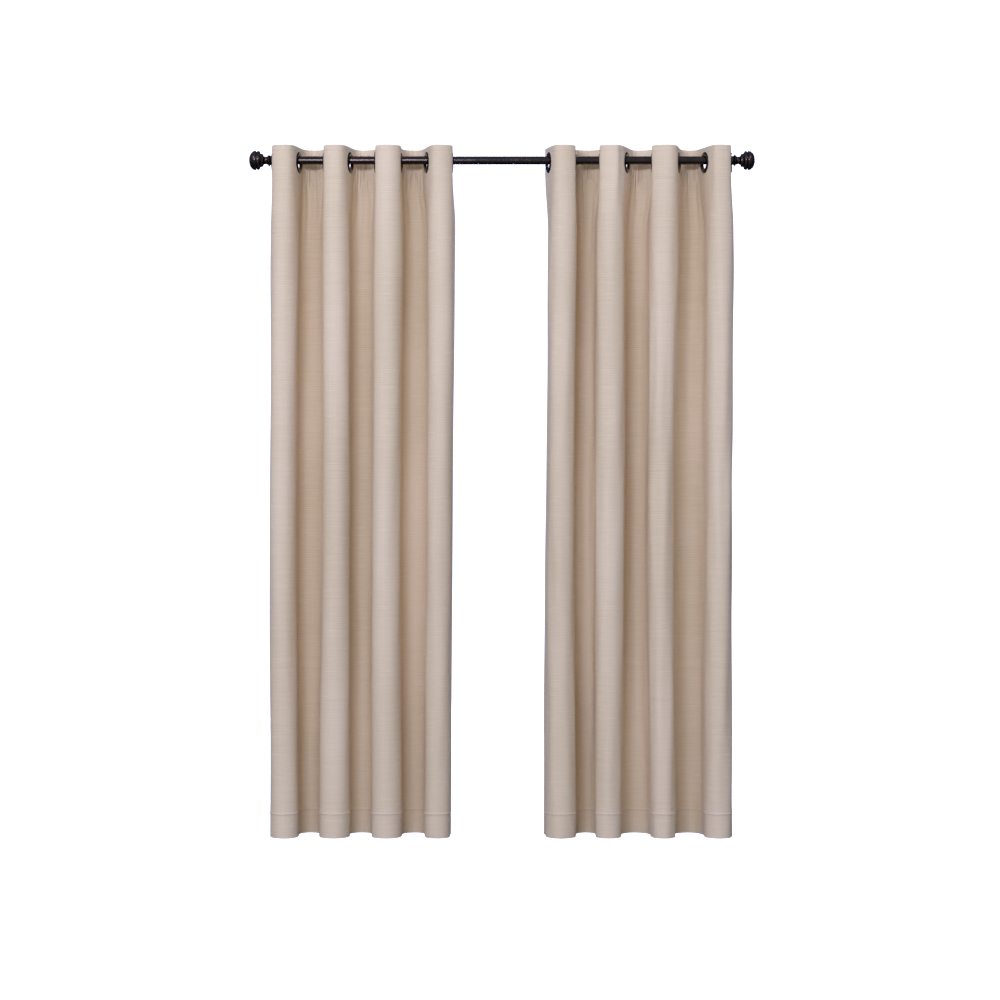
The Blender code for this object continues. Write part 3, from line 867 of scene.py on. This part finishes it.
def bracket(side, x):
    steps = 10
    outline = []
    for cx, cy, start in ((10, 30, 0), (-10, 30, 90), (-10, -30, 180), (10, -30, 270)):
        for i in range(steps + 1):
            a = math.radians(start + 90 * i / steps)
            outline.append((cx + 8 * math.cos(a), cy + 8 * math.sin(a)))
    at = Matrix.Translation((x, 0, ARM_Z))
    plate = prism(f"{side}_bracket_plate", outline, 0.0, 5.0, at @ XZ, [CAST_METAL])
    pts, faces = lathe([(0, -2), (5.3, -2), (5.3, 8), (0, 8)], 48, closed=False)

    def tool(profile, matrix):
        return turned_object("tool", profile, 48, matrix, [CAST_METAL], closed=False)

    boolean(plate, tool([(0, -2), (5.3, -2), (5.3, 8), (0, 8)], at @ INTO_ROOM), "DIFFERENCE")
    for dz in (26.0, -26.0):
        boolean(
            plate,
            tool(
                [(0, -2), (2.4, -2), (2.4, 2.6), (5.0, 5.2), (5.0, 8), (0, 8)],
                Matrix.Translation((x, 0, ARM_Z + dz)) @ INTO_ROOM,
            ),
            "DIFFERENCE",
        )
    settle(plate, 0.9)
    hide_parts(f"{side}_wall_plate")
    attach(plate, "root")

    def cup(radius, top, count):
        line = [(radius, top)]
        line += [(radius * math.cos(-math.pi * i / count), radius * math.sin(-math.pi * i / count)) for i in range(count + 1)]
        return line + [(-radius, top)]

    centre = Matrix.Translation((x, ROD_Y, 0))
    arm = prism(f"{side}_bracket_cup_arm", cup(16.6, 3.0, 40), -6.0, 6.0, centre @ YZ, [CAST_METAL])
    settle(arm, 0.8)
    reach = -ROD_Y - 0.5
    collar = -ROD_Y - 5.3
    bar = [(0, 8.0), (5.0, 8.0), (5.0, collar - 6.0)]
    bar += [tuple(p) for p in smooth_line([(5.3, collar - 5.2), (6.4, collar - 4.2), (7.6, collar - 2.8), (8.0, collar - 0.8)], 4)]
    bar += [(7.8, collar), (5.0, collar), (5.0, reach), (0, reach)]
    boolean(arm, turned_object("tool", bar, 48, Matrix.Translation((x, ROD_Y, ARM_Z)) @ TO_WALL, [CAST_METAL], closed=False), "UNION")
    bore = prism("tool", cup(13.02, 20.0, 48), -12.0, 12.0, centre @ YZ, [CAST_METAL])
    boolean(arm, bore, "DIFFERENCE")
    boolean(arm, tool([(0, -24.0), (2.5, -24.0), (2.5, -6.0), (0, -6.0)], centre), "DIFFERENCE")
    settle(arm, 0.5, 2, 45)
    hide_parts(f"{side}_bracket_arm")
    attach(arm, "root")

    # The set screw: a threaded shank and a knurled head with a slot.
    tip, head = -13.0, -17.1
    shank = [(0.0, tip), (1.2, tip), (1.6, tip - 0.4)] + [(r, -h) for r, h in thread_profile(-tip + 0.5, -head, 2.1, 0.8, 0.35)]
    shank += [(2.0, head), (4.9, head), (5.5, head - 0.5)]
    shank += [(5.8, head - 1.1), (5.8, head - 4.1), (5.3, head - 4.8), (4.8, head - 5.2), (0.0, head - 5.2)]
    points, faces = lathe(shank, 96, closed=False)
    # Knurling: every other flute of the head's side is cut in a little.
    radius = np.hypot(points[:, 0], points[:, 1])
    angle = np.arctan2(points[:, 1], points[:, 0])
    head_side = (radius > 5.6) & (points[:, 2] < head - 0.8)
    scale = np.where(head_side, 1 - 0.05 * (0.5 + 0.5 * np.cos(angle * 24)), 1.0)
    points[:, :2] *= scale[:, None]
    m = np.array(centre)
    points = points @ m[:3, :3].T + m[:3, 3]
    screw = mesh_object(f"{side}_thumb_set_screw", points, faces, [CAST_METAL], sharp=30)
    bm = bmesh.new()
    bm.from_mesh(screw.data)
    bmesh.ops.recalc_face_normals(bm, faces=bm.faces)
    bm.to_mesh(screw.data)
    bm.free()
    slot = prism("tool", [(-8, -0.6), (8, -0.6), (8, 0.6), (-8, 0.6)], head - 7, head - 4.0, centre, [CAST_METAL])
    boolean(screw, slot, "DIFFERENCE")
    screw.data.shade_smooth()
    screw.data.set_sharp_from_angle(angle=math.radians(30))
    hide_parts(f"{side}_set_screw")
    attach(screw, f"{side}_set_screw")


# ----------------------------------------------------------------- put together
rod()
finial("left", -1)
finial("right", 1)
for side, facts in PANELS.items():
    bracket(side, facts["outer"] + facts["way"] * BRACKET_IN)

for name in ("left_rod_insert", "right_rod_insert"):
    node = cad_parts[name]
    node.data.materials.clear()
    node.data.materials.append(NYLON)

for seed, side in ((11, "left"), (23, "right")):
    panel = Panel(side, seed)
    for k in range(GROMMETS):
        grommet(panel, k)
    for wave in range(GROMMETS - 1):
        cloth = cloth_piece(panel, wave)
        strips = [wave + 1, wave + 2] if wave == GROMMETS - 2 else [wave + 1]
        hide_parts(*[f"{side}_panel_strip_{k}" for k in strips])
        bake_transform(cloth)


# -------------------------------------------------------------- stage and light
def stage():
    """A pale round floor whose edge curves up into a plain wall, far enough
    out to stand behind the object from every side."""
    n = Nodes("pale_studio_paper")
    n.shader.inputs["Roughness"].default_value = 0.9
    place = n.add("ShaderNodeTexCoord").outputs["Object"]
    cloud = n.noise(place, 0.6, 2.0, 0.5)
    n.link(n.mix(cloud, (0.90, 0.90, 0.90, 1), (0.92, 0.92, 0.92, 1)), n.shader.inputs["Base Color"])
    n.shader.inputs["Emission Color"].default_value = (1, 1, 1, 1)
    n.shader.inputs["Emission Strength"].default_value = 1.0
    floor_z, reach, cove = -2125.0, 18000.0, 3000.0
    profile = [(0.0, floor_z), (6000.0, floor_z)]
    profile += [
        (reach - cove + cove * math.sin(a), floor_z + cove * (1 - math.cos(a)))
        for a in np.linspace(0, math.pi / 2, 20)
    ]
    profile += [(reach, 16000.0), (reach - 4000.0, 21000.0), (0.0, 23000.0)]
    points, faces = lathe(profile, 96, closed=False)
    obj = mesh_object("studio_round", points, faces, [n.mat], sharp=80)
    # It is only looked at: the light on the object is the lamps' and world's.
    obj.visible_diffuse = False
    obj.visible_glossy = False
    obj.visible_shadow = False


def area(name, where, towards, size, power, colour=(1, 1, 1), seen=True):
    data = bpy.data.lights.new(name, "AREA")
    data.shape = "RECTANGLE"
    data.size, data.size_y = size
    data.energy = power
    data.color = colour
    obj = bpy.data.objects.new(name, data)
    obj.location = where
    aim = Vector(towards) - Vector(where)
    obj.rotation_euler = aim.to_track_quat("-Z", "Y").to_euler()
    obj.visible_camera = seen
    bpy.context.scene.collection.objects.link(obj)


stage()
COOL = (0.88, 1.0, 1.76)
area("key_softbox", (-1.25, -5.7, 0.72), (-0.1, -0.1, -0.75), (2.0, 0.6), 165, COOL)
area("left_softbox", (-2.4, -2.0, 1.5), (-0.3, -0.1, -0.3), (1.0, 1.0), 26, COOL)
area("right_softbox", (2.4, -2.1, 1.5), (0.3, -0.1, -0.3), (1.0, 1.0), 22, COOL)
area("rear_softbox", (0.4, 5.2, 0.5), (0, -0.1, -1.0), (3.0, 2.0), 190, COOL, seen=False)


def studio_world():
    """A large soft room: brightest in front, above and to the left."""
    world = bpy.data.worlds.new("studio")
    world.use_nodes = True
    tree = world.node_tree
    back = tree.nodes["Background"]
    place = tree.nodes.new("ShaderNodeTexCoord")

    def facing(direction, low, high):
        dot = tree.nodes.new("ShaderNodeVectorMath")
        dot.operation = "DOT_PRODUCT"
        dot.inputs[1].default_value = Vector(direction).normalized()
        span = tree.nodes.new("ShaderNodeMapRange")
        span.interpolation_type = "SMOOTHSTEP"
        span.inputs["From Min"].default_value = low
        span.inputs["From Max"].default_value = high
        tree.links.new(place.outputs["Generated"], dot.inputs[0])
        tree.links.new(dot.outputs["Value"], span.inputs["Value"])
        return span.outputs["Result"]

    def times(value, factor, add=None):
        node = tree.nodes.new("ShaderNodeMath")
        node.operation = "MULTIPLY_ADD"
        tree.links.new(value, node.inputs[0])
        node.inputs[1].default_value = factor
        if add is None or isinstance(add, float):
            node.inputs[2].default_value = add or 0.0
        else:
            tree.links.new(add, node.inputs[2])
        return node.outputs[0]

    total = times(facing((-0.15, -0.75, 0.60), -0.5, 1.0), 0.55, 0.06)
    tree.links.new(total, back.inputs["Strength"])
    back.inputs["Color"].default_value = (*COOL, 1)
    bpy.context.scene.world = world


studio_world()
bpy.context.scene.view_settings.view_transform = "Standard"

camera = bpy.data.cameras.new("camera")
camera.sensor_width = 36.0
camera.lens = 36.0 * 8.0 / 3.10
camera.clip_end = 60.0
eye = bpy.data.objects.new("camera", camera)
eye.location = (-0.0062, ROD_Y * MM - 8.0, -1.0525)
eye.rotation_euler = (math.radians(90), 0, 0)
bpy.context.scene.collection.objects.link(eye)
bpy.context.scene.camera = eye
